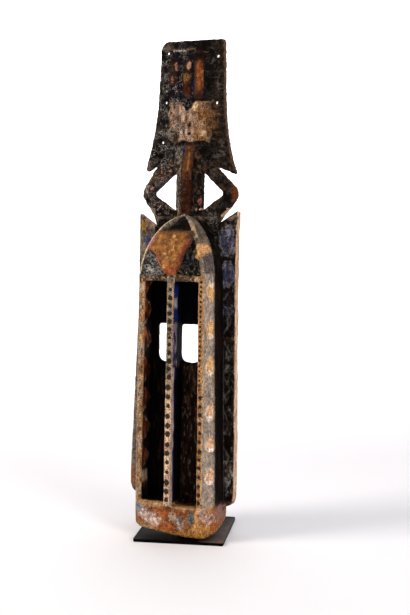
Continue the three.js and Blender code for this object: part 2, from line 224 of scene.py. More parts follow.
# %% Objects, their modifiers and their meshes
def plain_mesh(source, name):
    """A plain mesh of what an object's modifiers make of it; the source object is removed."""
    graph = bpy.context.evaluated_depsgraph_get()
    mesh = bpy.data.meshes.new_from_object(source.evaluated_get(graph))
    bpy.data.objects.remove(source)
    mesh.name = name
    return mesh


def linked(name, data):
    made = bpy.data.objects.new(name, data)
    bpy.context.scene.collection.objects.link(made)
    return made


def modify(holder, kind, **settings):
    step = holder.modifiers.new(kind.lower(), kind)
    for setting, value in settings.items():
        setattr(step, setting, value)
    return step


def mend(mesh, change):
    shell = bmesh.new()
    shell.from_mesh(mesh)
    change(shell)
    shell.to_mesh(mesh)
    shell.free()


def merged_copy(node, name):
    """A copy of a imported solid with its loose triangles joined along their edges."""
    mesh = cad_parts[node].data.copy()
    mend(mesh, lambda shell: bmesh.ops.remove_doubles(shell, verts=shell.verts, dist=1e-6))
    mesh.materials.clear()
    return linked(name, mesh)


# %% Reading and moving the points of a mesh
def read(collection, name):
    flat = np.empty(len(collection) * 3)
    collection.foreach_get(name, flat)
    return flat.reshape(-1, 3)


def points_of(mesh):
    return read(mesh.vertices, "co")


def normals_of(mesh):
    return upright(read(mesh.vertex_normals, "vector"))


def move_points(mesh, points):
    mesh.vertices.foreach_set("co", np.ascontiguousarray(points, float).ravel())
    mesh.update()


def neighbour_mean(mesh, values):
    pairs = np.empty(len(mesh.edges) * 2, int)
    mesh.edges.foreach_get("vertices", pairs)
    a, b = pairs.reshape(-1, 2).T
    count = np.bincount(pairs, minlength=len(values))
    columns = values.reshape(len(values), -1).T
    sums = [np.bincount(a, c[b], len(values)) + np.bincount(b, c[a], len(values)) for c in columns]
    return (np.stack(sums, 1) / count[:, None]).reshape(values.shape)


# %% Even net over the solid
VOXEL = 0.0015
WEAR_ROUNDS = 3

skin = merged_copy("wooden_mask", "skin")
modify(skin, "REMESH", mode="VOXEL", voxel_size=VOXEL)
wood = plain_mesh(skin, "mask_wood")
for _ in range(WEAR_ROUNDS):
    move_points(wood, points_of(wood) * 0.4 + neighbour_mean(wood, points_of(wood)) * 0.6)
print("fine net:", len(wood.polygons), "faces")

# %% [markdown]
# ## The marks of the knife and of age
# Each kind of mark is a height in millimetres along the surface's own direction: broad adze facets
# on the back, fine grain on the planed strips, a lattice of gouges on the brow, and the raised curls
# of old paint and soot on the crest. They are added together and the surface is moved once.


# %% Curls and relief
def curls(p, size, seed):
    """1 on the thin wandering lines where a noise passes through zero, like piped paint."""
    wander = p + 3 * np.stack([noise(p, 7, seed + axis) for axis in (1, 2, 3)], 1)
    return fade(0.06, 0.24, np.abs(noise(wander, size, seed)))


def crest_curls(p):
    """Upright lines low on the left of the crest, lying squiggles on its right."""
    right = smooth(-20, 25, p[:, 0])
    return curls(p, (4.5, 30, 13), 11) * (1 - right) + curls(p, (11, 30, 4.5), 15) * right


def crust(p, here):
    """Where the thick crust is: the crest, the limbs and the neck."""
    return smooth(533, 545, p[:, 2]) * (1 - here.behind) * (1 - np.maximum(here.ribs * 0.8, here.pad * 0.6))


def relief(p, n):
    here = parts_of_carving(p, n)
    height = 0.4 * clouds(p, (16, 16, 34), 3)
    height += 0.16 * noise(p, (2.6, 2.6, 45), 4)
    height += crust(p, here) * (0.7 * crest_curls(p) + 0.55 * clouds(p, 5, 7) + 0.35 * clouds(p, 13, 17))
    height += here.field * (0.8 * curls(p, 5, 21) + 0.5 * clouds(p, 4, 8) - 0.4)
    height += here.tongue * 0.5 * clouds(p, (7, 7, 9), 9)
    height += here.behind * 0.9 * np.abs(noise(p, (13, 13, 26), 10))
    height += here.pad * (0.5 * clouds(p, (5, 5, 16), 12) - 0.5 * smooth(0.3, 0.6, noise(p, 5, 18)))
    height += here.wings * 0.5 * clouds(p, 7, 13)
    height += here.slot * 0.6 * clouds(p, (6, 6, 30), 16)
    pits = smooth(0.45, 0.75, noise(p, 5.5, 15)) * here.chin * here.front
    height += here.chin * 0.5 * clouds(p, 9, 14) - 0.8 * pits
    return height


where, facing = to_mask(points_of(wood)), normals_of(wood)
heights = relief(where, facing)
move_points(wood, to_part(where + facing * heights[:, None]))
print("relief in mm, lowest and highest:", heights.min().round(2), heights.max().round(2))

# %% [markdown]
# ## The lashing holes
# Five holes near the edges of the crest were burnt through with an iron, so that a cloth could be tied
# on. The wear closed the solid's narrow holes, so they are cut again, slanting a little as by hand.

# %% Burn the holes through the crest
HOLES = [(-44, 807), (45.5, 799), (-46.5, 724), (45, 721.5), (-51.5, 656.5)]
HOLE_RADIUS = 2.8
HOLE_SLANT = (-0.15, 0.08)
HOLE_SIDES = 20
HOLE_ENDS = (-10, 30)
PANEL_FRONT = 76


def from_hole(p, x, z):
    """How far points lie from the axis of the hole that starts at x and z on the panel's front."""
    back = p[:, 1] - PANEL_FRONT
    return np.hypot(p[:, 0] - x - HOLE_SLANT[0] * back, p[:, 2] - z - HOLE_SLANT[1] * back)


corners, sides = [], []
turns = np.linspace(0, 2 * np.pi, HOLE_SIDES, endpoint=False)
ring = HOLE_RADIUS * np.stack([np.cos(turns), np.zeros(HOLE_SIDES), np.sin(turns)], 1)
for x, z in HOLES:
    first = len(corners)
    for back in HOLE_ENDS:
        corners += list(ring + (x + HOLE_SLANT[0] * back, PANEL_FRONT + back, z + HOLE_SLANT[1] * back))
    near, far = range(first, first + HOLE_SIDES), range(first + HOLE_SIDES, first + 2 * HOLE_SIDES)
    sides += [tuple(near), tuple(reversed(far))]
    sides += [(near[i - 1], far[i - 1], far[i], near[i]) for i in range(HOLE_SIDES)]
irons = bpy.data.meshes.new("irons")
irons.from_pydata(to_part(np.array(corners)).tolist(), [], sides)
mend(irons, lambda shell: bmesh.ops.recalc_face_normals(shell, faces=shell.faces))
irons = linked("irons", irons)
pierced = linked("pierced", wood)
modify(pierced, "BOOLEAN", operation="DIFFERENCE", solver="MANIFOLD", object=irons)
before = len(wood.vertices)
wood = plain_mesh(pierced, "mask_wood")
bpy.data.objects.remove(irons)
print("points before and after the holes:", before, len(wood.vertices))

# %% [markdown]
# ## Burnt dots
# A hot iron was pressed along the nose ridge and the flat strips. Each touch leaves a small charred pit.
# Geometry Nodes sink the surface near every point of a list and keep how close each vertex is,
# which the materials read later to darken it.


# %% Points where the iron touched
def dot_row(x, y, low, high, step, wide, seed):
    """Points up a strip, each with how wide its dot is next to the iron."""
    count = int((high - low) / step) + 1
    z = low + step * np.arange(count)
    row = np.stack([np.full(count, float(x)), np.full(count, float(y)), z, np.full(count, wide)], 1)
    row[:, 3] *= 1 + 0.3 * noise(row[:, :3], 4, seed + 2)
    row[:, 0] += 0.6 * noise(row[:, :3], 5, seed)
    row[:, 2] += 0.14 * step * noise(row[:, :3], 7, seed + 1)
    return row


dots = np.concatenate([
    dot_row(-0.3, -5, 62, 255, 15.5, 1.7, 31),
    dot_row(0.2, -5, 266, 415, 13, 1.5, 33),
    dot_row(54, 0, 60, 240, 14.5, 1.35, 35),
    dot_row(51.5, 0, 246, 428, 8, 0.8, 37),
])
iron = bpy.data.meshes.new("iron_points")
iron.from_pydata(to_part(dots[:, :3]).tolist(), [], [])
iron.attributes.new("wide", "FLOAT", "POINT").data.foreach_set("value", dots[:, 3])
iron_points = linked("iron_points", iron)
print("burnt dots:", len(dots))


# %% One small function that adds a node
def add(tree, kind, settings=None):
    """Adds a node; settings are its properties, the values of its inputs, or sockets to link to them."""
    node = tree.nodes.new(kind)
    for key, value in (settings or {}).items():
        if isinstance(value, bpy.types.NodeSocket):
            tree.links.new(value, node.inputs[key])
        elif isinstance(key, str) and hasattr(node, key) and key not in node.inputs:
            setattr(node, key, value)
        else:
            node.inputs[key].default_value = value
    return node


# %% The pits as Geometry Nodes
def pits_tree(points_object):
    tree = bpy.data.node_groups.new("burnt_pits", "GeometryNodeTree")
    for socket, kind in (("Geometry", "Geometry"), ("Pit radius", "Float"), ("Pit depth", "Float"),
                         ("Finish", "Material")):
        tree.interface.new_socket(socket, in_out="INPUT", socket_type="NodeSocket" + kind)
    tree.interface.new_socket("Geometry", in_out="OUTPUT", socket_type="NodeSocketGeometry")
    inputs = add(tree, "NodeGroupInput").outputs
    info = add(tree, "GeometryNodeObjectInfo", {"transform_space": "ORIGINAL", "Object": points_object})
    iron = info.outputs["Geometry"]
    near = add(tree, "GeometryNodeProximity", {"target_element": "POINTS", 0: iron})
    nearest = add(tree, "GeometryNodeSampleNearest", {"domain": "POINT", 0: iron})
    wide = add(tree, "GeometryNodeInputNamedAttribute", {"data_type": "FLOAT", "Name": "wide"})
    drawn = add(tree, "GeometryNodeSampleIndex", {
        "data_type": "FLOAT", "domain": "POINT",
        "Geometry": iron, "Value": wide.outputs[0], "Index": nearest.outputs[0]})
    reach = add(tree, "ShaderNodeMath", {
        "operation": "MULTIPLY", 0: drawn.outputs[0], 1: inputs["Pit radius"]})
    close = add(tree, "ShaderNodeMapRange", {
        "interpolation_type": "SMOOTHSTEP", "Value": near.outputs["Distance"], "From Max": reach.outputs[0],
        "To Min": 1.0, "To Max": 0.0}).outputs["Result"]
    depth = add(tree, "ShaderNodeMath", {"operation": "MULTIPLY", 0: close, 1: inputs["Pit depth"]})
    down = add(tree, "ShaderNodeMath", {"operation": "MULTIPLY", 0: depth.outputs[0], 1: -1.0})
    normal = add(tree, "GeometryNodeInputNormal")
    offset = add(tree, "ShaderNodeVectorMath", {
        "operation": "SCALE", 0: normal.outputs[0], "Scale": down.outputs[0]})
    keep = add(tree, "GeometryNodeStoreNamedAttribute", {
        "domain": "POINT", "Name": "burn", "Geometry": inputs["Geometry"], "Value": close})
    sink = add(tree, "GeometryNodeSetPosition", {"Geometry": keep.outputs[0], "Offset": offset.outputs[0]})
    whole = add(tree, "GeometryNodeRealizeInstances", {0: sink.outputs[0]})
    finish = add(tree, "GeometryNodeSetMaterial", {0: whole.outputs[0], "Material": inputs["Finish"]})
    add(tree, "NodeGroupOutput", {0: finish.outputs[0]})
    return tree


# %% [markdown]
# ## Fewer faces where the wood is calm
# The even net has more faces than a piece may carry. The back, the side walls and the depth of the slots
# are calm, so they are thinned first. Then edges are collapsed where that changes the shape least.
# The pits are sunk last, so they stay crisp.

# %% Thin the net
FACE_LIMIT = 192000
CALM_KEPT = 0.12


def triangles_in(mesh):
    return sum(len(face.vertices) - 2 for face in mesh.polygons)


where, facing = to_mask(points_of(wood)), normals_of(wood)
here = parts_of_carving(where, facing)
x, y, z = where.T
side_wall = (np.abs(facing[:, 0]) > 0.8) & (y > BEVEL_DEPTH + 4) & (z < 480)
in_slot = here.slot > 0.5
slot_seen = ((y < 34) & (x < 12) & (facing[:, 0] > 0.6)) | ((facing[:, 1] < -0.5) & (z < 300))
calm = ((here.behind > 0.5) | in_slot | side_wall) & ~(in_slot & slot_seen)
strips = (y < STRIP_BACK) & (z > STRIP_FOOT) & (z < STRIP_TOP)
triangles = triangles_in(wood)
calm_kept = 1 - calm.mean() * (1 - CALM_KEPT)
thin = linked("thin", wood)
for name, members, kept in (("calm", calm, calm_kept),
                            ("rest", ~calm & ~strips, min(1, FACE_LIMIT / (triangles * calm_kept)))):
    thin.vertex_groups.new(name=name).add(np.flatnonzero(members).tolist(), 1.0, "REPLACE")
    modify(thin, "DECIMATE", ratio=kept, vertex_group=name)
wood = plain_mesh(thin, "mask_wood")
print("triangles before and after:", triangles, triangles_in(wood))

# %% Sink the pits
pitted = linked("carved_mask", wood)
pits = modify(pitted, "NODES", node_group=pits_tree(iron_points))
values = {"Pit radius": 5 * MM, "Pit depth": 1.2 * MM, "Finish": bpy.data.materials.new("soot_crust")}
for item in pits.node_group.interface.items_tree:
    if item.name in values:
        pits[item.identifier] = values[item.name]
wood = plain_mesh(pitted, "carved_mask")
bpy.data.objects.remove(iron_points)
print("triangles with the pits:", triangles_in(wood))

# %% [markdown]
# ## Painting the strokes one by one
# The painter's broad work is laid on the vertices: a ground that drifts between tones, then strokes in
# the places they have on the carving. A later stroke covers an earlier one. Places and sizes are in mm
# on the upright mask, and the materials break every stroke up with finer noise.

# %% Brushes
where, facing = to_mask(points_of(wood)), normals_of(wood)
here = parts_of_carving(where, facing)
x, y, z = where.T
side = np.abs(x)
outside = 1 - here.behind


def colour(hex_code):
    """An sRGB hex code as linear colour."""
    channels = [int(hex_code[i:i + 2], 16) / 255 for i in (1, 3, 5)]
    return [c / 12.92 if c <= 0.04045 else ((c + 0.055) / 1.055) ** 2.4 for c in channels] + [1.0]


def drifting(tones, size, seed):
    """A ground that wanders through a list of tones."""
    levels = np.array([colour(hex_code)[:3] for hex_code in tones])
    value = np.clip(0.5 + 0.75 * clouds(where, size, seed), 0, 1) * (len(tones) - 1)
    return np.stack([np.interp(value, np.arange(len(tones)), channel) for channel in levels.T], 1)


tone = drifting(("#1a1310", "#2e221a", "#43342a"), 12, 80)


def ground(mask, tones, size, seed):
    tone[:] += np.clip(mask, 0, 1)[:, None] * (drifting(tones, size, seed) - tone)


def lay(hex_code, amount):
    tone[:] += np.clip(amount, 0, 1)[:, None] * (np.array(colour(hex_code)[:3]) - tone)


print("painted points:", len(where))


# %% Ragged strokes
def rough(size, seed):
    return noise(where, size, seed)


def flecks(low, high, size, seed):
    """1 where the noise is above the high level, and 0 below the low one."""
    return smooth(low, high, rough(size, seed))


def spot(x0, z0, wide, tall, seed=0):
    """A ragged patch centred at x0 and z0, with its half width and half height."""
    ragged = 0.3 * rough(7, 71 + seed) + 0.25 * rough(3, 72 + seed)
    return fade(0.75, 1.2, np.hypot((x - x0) / wide, (z - z0) / tall) + ragged)


def streak(x0, z0, x1, z1, wide, seed=0):
    """A ragged line from one point to another."""
    across, along = x1 - x0, z1 - z0
    share = np.clip(((x - x0) * across + (z - z0) * along) / (across**2 + along**2), 0, 1)
    far = np.hypot(x - x0 - share * across, z - z0 - share * along)
    return fade(0.5, 1.1, far / wide + 0.4 * rough(4, 73 + seed))


def dabs(mask, *rows):
    """Spots: tone, centre, half sizes, seed and strength, then its swing with that noise's size and seed."""
    for hex_code, x0, z0, wide, tall, seed, full, *uneven in rows:
        strength = full + uneven[0] * rough(*uneven[1:]) if uneven else full
        lay(hex_code, mask * spot(x0, z0, wide, tall, seed) * strength)


# %% Soot on the crest
crest = smooth(531, 540, z) * outside
ground(crest, ("#050404", "#090705", "#120e0a", "#1f1711"), (8, 8, 10), 81)
left = fade(-35, 0, x)
lay("#2e1e15", crest * (0.5 + 0.3 * left) * flecks(0.3, 0.65, 15, 82))
lay("#4c4744", crest * left * flecks(-0.1, 0.4, 5, 98) * (0.12 + 0.2 * (z < 700) * (x < -40)))
lay("#8c8682", crest * crest_curls(where) ** 3 * (0.2 * left + 0.4 * rough(12, 83)))
# Painted shade: a dark ring round the mouth of each hole.
for hole in HOLES:
    lay("#070505", crest * fade(0.6, 2.6, from_hole(where, *hole) - HOLE_RADIUS))
panel = here.panel
lay("#5f5248", panel * streak(-50, 815, -34, 815, 5) * 0.8)
lay("#0a0807", panel * band(z, 814, 828, 1.5) * smooth(-36, -26, x) * 0.8)
lay("#b8a6a0", panel * streak(-32, 810, -11, 809.5, 1.8))
lay("#6e5444", panel * streak(-9, 811, 7, 813, 1.6) * 0.8)
edge = np.abs(facing[:, 0]) * smooth(600, 610, z) * (y > 70) * (x > 40)
print("points on the crest:", (crest > 0.5).sum())

# %% The ribs and the grooves between them
grooves = panel * band(z, 725, 806, 3) * band(x, -42, 26, 3)
ribs = here.ribs
lay("#120f16", grooves * 0.85)
dabs(grooves, ("#171c44", 3, 752, 3, 8, 1, 0.8))
lay("#2c1b14", ribs)
lay("#5c2c0e", ribs * smooth(0, 6, x) * (0.75 + 0.25 * rough(9, 84)))
lay("#5e2a10", ribs * smooth(0, 6, x) * flecks(0.1, 0.5, (6, 6, 20), 85))
dabs(ribs, ("#b8641e", 15.5, 768, 4.5, 22, 47, 0.22, 0.6, (5, 5, 9), 78))
lay("#140c08", ribs * (x > 4) * smooth(6, 9.5, np.abs(x - 15.5)) * 0.85)
lay("#0d0a08", ribs * smooth(780, 801, z + 5 * rough(7, 96)))
lay("#0d0a08", ribs * fade(734, 742, z + 4 * rough(5, 99)) * 0.8)
lay("#b88050", ribs * streak(21, 775, 22, 745, 2) * 0.8)
lay("#a8602a", ribs * streak(12, 785, 14, 745, 3, 7) * 0.35)
dabs(ribs,
     ("#c9997a", -4, 785, 3.5, 8, 2, 0.8, 0.5, 2.5, 61),
     ("#94622a", -9, 763, 6, 9, 3, 0.7, 0.9, 2.5, 62),
     ("#4e2412", -8, 742, 6, 10, 4, 0.8, 0.8, 3, 63),
     ("#b98468", -27, 783, 3, 7, 5, 0.7, 0.9, 2.5, 64),
     ("#9a6650", -34, 761, 3, 7, 6, 0.6, 0.9, 2.5, 65))
print("points on the ribs:", (ribs > 0.5).sum())

# %% The pale pad
pad = here.pad
ground(pad, ("#46311f", "#86664f", "#bf9f88", "#ecd4c0"), (4, 4, 12), 86)
lay("#84562a", pad * smooth(0, 12, x) * (0.7 + 0.5 * rough((6, 6, 14), 87)))
lay("#d3b184", pad * (spot(8, 716, 6, 8, 7) + spot(22, 672, 6, 6, 8)))
lay("#33221a", pad * smooth(24, 38, x + 5 * rough(9, 97)) * 0.8)
dabs(pad, ("#1c1612", -43, 722, 8, 7, 68, 0.9))
lay("#14100d", pad * (x < -23) * fade(674, 684, z + 4 * rough(6, 66)) * 0.8)
lay("#1a1410", pad * streak(-22, 712, -21, 664, 1.1) * 0.9)
lay("#1a1410", pad * flecks(0.35, 0.55, (3.5, 3.5, 5), 88) * (0.4 + spot(-2, 680, 7, 16, 9)))
fading = panel * band(z, 660, 720, 6) * smooth(22, 34, x) * fade(36, 58, x)
lay("#75502e", fading * flecks(-0.3, 0.5, (16, 16, 3), 89) * 0.85)
lay("#765a48", edge * 0.7)
print("points on the pad:", (pad > 0.5).sum())

# %% The neck and the limbs
neck = band(z, 534, 650, 3) * (side < 24) * outside
ridge = neck * (side < 9.5)
limbs = band(z, 535, 626, 4) * (side > 24) * outside
lay("#8a7866", neck * smooth(9, 13, -x) * (0.12 + 0.88 * flecks(-0.25, 0.45, (3, 3, 5), 91)))
lay("#54402f", neck * smooth(9, 13, x) * flecks(0.0, 0.5, (3, 3, 5), 159) * 0.8)
lay("#391b10", ridge)
lay("#522a0f", ridge * smooth(588, 606, z + 5 * rough(8, 92)) * (0.8 + 0.4 * rough(5, 95)))
lay("#906026", ridge * streak(2, 636, 3, 610, 2.5) * 0.6)
dabs(here.front, ("#1c2a50", -11, 643, 4, 6, 11, 0.8), ("#9a6058", 22, 556, 2.8, 6, 12, 0.8))
lay("#4e3a2e", limbs * here.front * flecks(0.0, 0.5, 6, 93) * (0.6 + 0.4 * (x < 0)))
lay("#a07a6a", limbs * here.front * flecks(0.3, 0.6, 2.8, 94) * (x < 0) * 0.85)
lay("#080606", limbs * smooth(0.5, 0.8, -facing[:, 0] * np.sign(x)))
dabs(limbs,
     ("#683816", 83, 570, 5, 17, 13, 0.9),
     ("#d0a684", 88, 566, 1.8, 14, 16, 0.9),
     ("#1e2638", 73, 571, 4, 5, 14, 0.5))
print("points on the neck and the limbs:", (neck > 0.5).sum(), (limbs > 0.5).sum())


# %% The wings: blue patches and a zigzag on the right, rubbed wood on the left
def zigzag(period, start):
    """How far a zigzag has swung, from 0 to 1 and back, at each point's height."""
    return np.abs(((z - start) / period) % 1 * 2 - 1)


right_wing, left_wing = here.wings * (x > 0), here.wings * (x < -58)
ground(here.wings, ("#0a0807", "#120d0b", "#2a1e18"), (7, 7, 14), 141)
lay("#7a7068", right_wing * flecks(0.35, 0.6, (4, 4, 8), 142) * 0.6)
upper, lower = spot(72, 491, 13, 23, 24), spot(75, 436, 11, 19, 25)
blue = right_wing * (upper + lower + 0.5 * spot(77, 373, 8, 13, 26))
lay("#3f4058", blue * (0.75 + 0.4 * rough((6, 6, 12), 156)))
lay("#8886a0", blue * flecks(0.1, 0.55, (2.6, 2.6, 18), 144) * 0.75)
lay("#4a3018", right_wing * (z < 330) * flecks(0.0, 0.5, (9, 9, 22), 147) * 0.6)
lay("#b3adb0", right_wing * 4 * (upper * (1 - upper) + lower * (1 - lower)) * 0.35)
lay("#9a938e", right_wing * spot(85, 98, 9, 24, 50) * flecks(-0.1, 0.4, (3, 3, 7), 71) * 0.8)
off_line = np.abs(x - 66 - 18 * zigzag(58, 417) + 2 * rough(6, 143))
lay("#8d8785", right_wing * fade(0.7, 2.0, off_line) * (z < 405) * (0.3 + 0.4 * rough(14, 148)))
ground(left_wing, ("#5a4e44", "#8c7d6c", "#b09e8a"), (6, 6, 12), 145)
lay("#9a6640", left_wing * fade(92, 118, z + 6 * rough(8, 77)) * 0.85)
dabs(left_wing,
     ("#a87a34", -78, 517, 6, 8, 28, 1),
     ("#8a3f68", -72, 512, 4, 5, 29, 0.8),
     ("#50507c", -72, 490, 6, 8, 30, 1))
wing_edge = (np.abs(facing[:, 0]) > 0.55) * (y > PLANK_FRONT - 2) * (side > side_half(x, z) + 4)
ground(wing_edge * (z > 30) * (z < WING_TOP) * 0.95, ("#b58560", "#dcb291", "#efd3ba"), (5, 5, 18), 146)
print("points on the wings:", (here.wings > 0.5).sum())

# %% The sunk field, the crown and the rim of the brow
right_half = smooth(-4, 4, x)
inset = arch_half(x, z) - side
field = here.field
ground(field, ("#0a0908", "#131211", "#262423"), 6, 101)
lay("#0b0b0a", field * right_half * 0.75)
lay("#5a5856", field * (1 - right_half) * flecks(-0.3, 0.3, 6, 114))
lay("#a8a8a6", field * curls(where, 5, 21) ** 2 * (1 - 0.88 * right_half) * 0.9)
lay("#b4aca4", field * spot(-44, 440, 10, 10, 15) * flecks(0.0, 0.3, 3.5, 102))
lay("#9a8350", field * right_half * flecks(0.3, 0.5, 2.8, 103) * fade(434, 450, z))
crown = band(z, 505, 534, 2) * outside * (y < 66)
ground(crown, ("#2e2721", "#5c5146", "#8a7b68"), (9, 9, 12), 104)
wedge = 6 + (531 - z) * 0.68 - np.abs(x - 7)
lay("#0c0a08", crown * smooth(-7, 4, wedge + 3 * rough(6, 112)))
lay("#c4ad8a", crown * streak(13, 528, 34, 505, 2, 17) * (0.4 + 0.6 * rough((3, 3, 5), 157)))
lay("#4a3418", crown * fade(504, 512, z + 4 * rough(8, 113)) * (x < 24) * 0.6)
rim, left_rim = here.rim, here.rim * (x < 0)
ground(rim, ("#4a4038", "#7d6f62", "#a3927f"), (8, 8, 14), 105)
lay("#b39a7c", rim * streak(22, 516, 46, 492, 6, 45) * 0.8)
lay("#c4a888", rim * streak(46, 492, 56, 452, 2, 46) * 0.6)
lay("#2c2825", left_rim * smooth(2.2, 3.2, inset) * fade(492, 510, z))
lay("#dcc6a2", left_rim * fade(2, 3.4, inset))
lay("#0b0908", band(z, 498, 538, 4) * (y > 60) * outside * (side < 60) * smooth(-20, 5, x) * 0.85)
print("points on the field and the rim:", (field > 0.5).sum(), (rim > 0.5).sum())

# %% The tongue and the shoulders beside it
tongue = here.tongue
ground(tongue, ("#643a1a", "#855127", "#a16c36"), (6, 6, 9), 107)
inset = tongue_half(x, z) - side
lay("#94503a", tongue * fade(3, 9, inset + 2 * rough(7, 108)) * fade(492, 500, z))
# Painted shade: the right edge of the tongue darkens, the side of the bulge turned from the light.
lay("#6a3418", tongue * (x > 8) * fade(1, 7, inset) * (z < 492))
dabs(tongue, ("#3a2c1a", 31, 497, 9, 10, 44, 0.85))
lay("#2c1c10", tongue * smooth(497, 505, z + 2 * rough(5, 67)) * 0.75)
lay("#a86a54", tongue * (x < -16) * fade(1, 6, inset) * 0.6)
dabs(tongue, ("#a0522e", -1, 440, 9, 9, 18, 1))
# Painted highlight: cream flecks gather in the middle of the tongue, where the bulge faces the light.
lay("#d8ae68", tongue * flecks(0.4, 0.6, 3.2, 109) * spot(-3, 468, 14, 26, 19))
shoulder = here.bevel * smooth(425, 440, z)
ground(shoulder, ("#2a221c", "#5a4c40", "#857260"), (8, 8, 14), 110)
dabs((x > 30) * (y < 40), ("#d29c66", 48, 472, 10, 12, 20, 1))
dabs(shoulder, ("#4c4344", 57, 446, 12, 26, 21, 0.8))
print("points on the tongue:", (tongue > 0.5).sum())

# %% The bevel strips and their chips
low = fade(225, 265, z + 8 * rough(12, 121))
across = y - BEVEL_DEPTH * 0.7
chip, chip_lit_rim = np.zeros(len(where)), np.zeros(len(where))
for centre, drop in zip(CHIP_CENTRES, (0, 0, 5, 0, 0, -7)):
    height = (z - centre + drop) * (-1 if centre == CHIP_CENTRES[-1] else 1)
    tall = 17 if centre > 250 else 13.5
    room = 10.5 * np.sqrt(np.clip(1 - (height / tall) ** 2, 0, 1)) * (1 - 0.35 * smooth(-4, 12, height))
    scoop = (room > 0) * smooth(-1, 1.5, room - np.abs(across) + rough(5, 111))
    # The lower and front rims of each scoop are lightened: painted highlight, as on a hollow lit from the
    # left.
    lower_edge = fade(-9, -6, height + 0.05 * across**2)
    near_edge = 0.6 * fade(1.2, 2.8, room + across)
    chip = np.maximum(chip, scoop)
    chip_lit_rim = np.maximum(chip_lit_rim, scoop * np.maximum(lower_edge, near_edge))
bevel = here.bevel * (z < ARCH_FOOT)
ground(bevel, ("#7a6c61", "#978777", "#b0a090"), (5, 5, 7), 122)
lay("#51463d", bevel * flecks(0.15, 0.6, (7, 7, 12), 138) * 0.5)
lay("#d8a870", bevel * chip)
lay("#dcae8c", bevel * chip * low * 0.85)
# Painted highlight on the rims of the scoops.
lay("#f6e6d6", bevel * chip_lit_rim * (0.5 + 0.5 * low))
# Painted shade: the bevel darkens towards its back arris, as if it rounded away from the light.
lay("#241b16", bevel * smooth(BEVEL_DEPTH - 4, BEVEL_DEPTH + 1.5, y) * 0.85)
print("points in the chips:", (bevel * chip > 0.5).sum())

# %% The lintel, the nose and the strips of the front face
front_face = (y < STRIP_BACK) * (z < STRIP_TOP + 1) * (z > STRIP_FOOT) * (side < arch_half(x, z) + 0.5)
left_strip, right_strip = front_face * (x < -40), front_face * (x > 40)
nose = front_face * (side < NOSE_HALF + 1)
ground(front_face, ("#573c26", "#9c7048", "#caa070"), (4, 4, 9), 123)
lay("#1e1712", front_face * smooth(417, 421, z) * (0.8 + 0.4 * rough(4, 134)))
lay("#d0b48a", front_face * band(z, 415, 418.5, 1) * (x < 42) * (0.5 + 0.5 * rough(9, 69)))
lay("#948672", nose * (1 - low) * 0.7)
lay("#2e3328", nose * (1 - low) * flecks(0.1, 0.4, (7, 7, 7), 124) * 0.9)
lay("#dcc6aa", nose * smooth(4, 5.2, side) * (0.5 + 0.5 * rough(12, 139)))
lay("#e6c4a0", nose * low * 0.9)
lay("#c78a78", nose * low * flecks(0.3, 0.6, (6, 6, 14), 125) * 0.8)
lay("#a89684", front_face * (x < -NOSE_HALF - 30) * flecks(-0.2, 0.4, 9, 126) * 0.7)
lay("#b47840", right_strip * (0.6 - 0.15 * low))
inner = 46.5 + 4 * (SLOT_TOP - z) / (SLOT_TOP - 51)
arris = np.maximum(fade(0.8, 2.2, x - inner), fade(0.8, 2.4, arch_half(x, z) - x))
lay("#dcbc96", right_strip * arris * (0.45 + 0.5 * rough((5, 5, 9), 76)))
lay("#a0602c", left_strip * flecks(0.4, 0.6, (4, 4, 7), 136) * 0.8)
lay("#4a3428", left_strip * flecks(0.45, 0.65, (5, 5, 8), 137) * 0.8)
print("points on the front face:", front_face.sum())

# %% Char on the side walls and in the slots
side_wall = (y > arch_front(z) + BEVEL_DEPTH + 1) * (y < PLANK_FRONT - 1.5) * (side > side_half(x, z) - 3)
ground(side_wall * (z > 42), ("#060505", "#0e0a09", "#221511"), (5, 12, 40), 127)
slot = here.slot
ground(slot, ("#040303", "#080606", "#140d0a"), (5, 5, 26), 128)
lay("#2c1c14", slot * (z < 285) * (facing[:, 1] < -0.5) * smooth(-40, 10, x) * 0.8)
lay("#5e4030", slot * (z < 290) * (0.25 + 0.75 * (x > 0)) * flecks(0.0, 0.6, (3, 3, 16), 129) * 0.8)
lay("#8e7c6c", slot * (z < 280) * (x > 0) * flecks(0.45, 0.7, (2, 2, 5), 130) * 0.6)
lay("#070a20", slot * (z > 350) * (x > 0) * 0.4)
outer_wall = slot * smooth(0.5, 0.8, facing[:, 0]) * (x < -40)
teeth = 33 * (1 - zigzag(49, 349.5)) + 5 * rough(7, 131)
saw = outer_wall * fade(-3, 2, y - teeth) * smooth(70, 110, z) * (0.45 + 0.55 * smooth(230, 290, z))
ground(saw, ("#1c0d08", "#63301a", "#b0683c"), (6, 6, 8), 132)
lay("#0c0706", saw * flecks(-0.05, 0.3, (9, 9, 13), 133) * 0.85)
saw_line = outer_wall * fade(0.6, 1.8, np.abs(y - teeth)) * (z > 90)
lay("#cdbba6", saw_line * (0.1 + 0.6 * rough(9, 149)))
dabs(outer_wall * (y < 26), ("#9a8470", -56, 96, 30, 9, 70, 0.8))
print("points in the slots:", (slot > 0.5).sum())

# %% The blue flank of the nose
flank = (facing[:, 0] > 0.5) * (x > 0) * (x < NOSE_HALF + 3) * (z < SLOT_TOP) * (y < 40)
deepness = y + 5 * rough((9, 9, 14), 135)
shallow = flank * fade(13, 20, deepness)
foot = z < 280
lay("#11193c", shallow)
lay("#172460", shallow * (spot(6, 402, 30, 12, 22) + 0.6 * spot(6, 368, 30, 10, 23)) * 0.9)
bare = spot(6, 386, 30, 8, 41) + 0.8 * (z < 355) * flecks(0.1, 0.5, (5, 5, 12), 47)
lay("#a8a2a2", shallow * bare * 0.8)
lay("#7a6284", shallow * spot(6, 325, 30, 24, 43) * flecks(-0.1, 0.4, (4, 4, 9), 48) * 0.8)
lay("#0f173c", shallow * foot * smooth(3, 6, deepness))
lay("#bba598", shallow * foot * fade(4, 7.5, deepness) * 0.9)
lay("#040303", flank * foot * smooth(11, 14, deepness))
lay("#c29a84", flank * (y < -2.5) * 0.9)
print("points on the flank:", flank.sum())

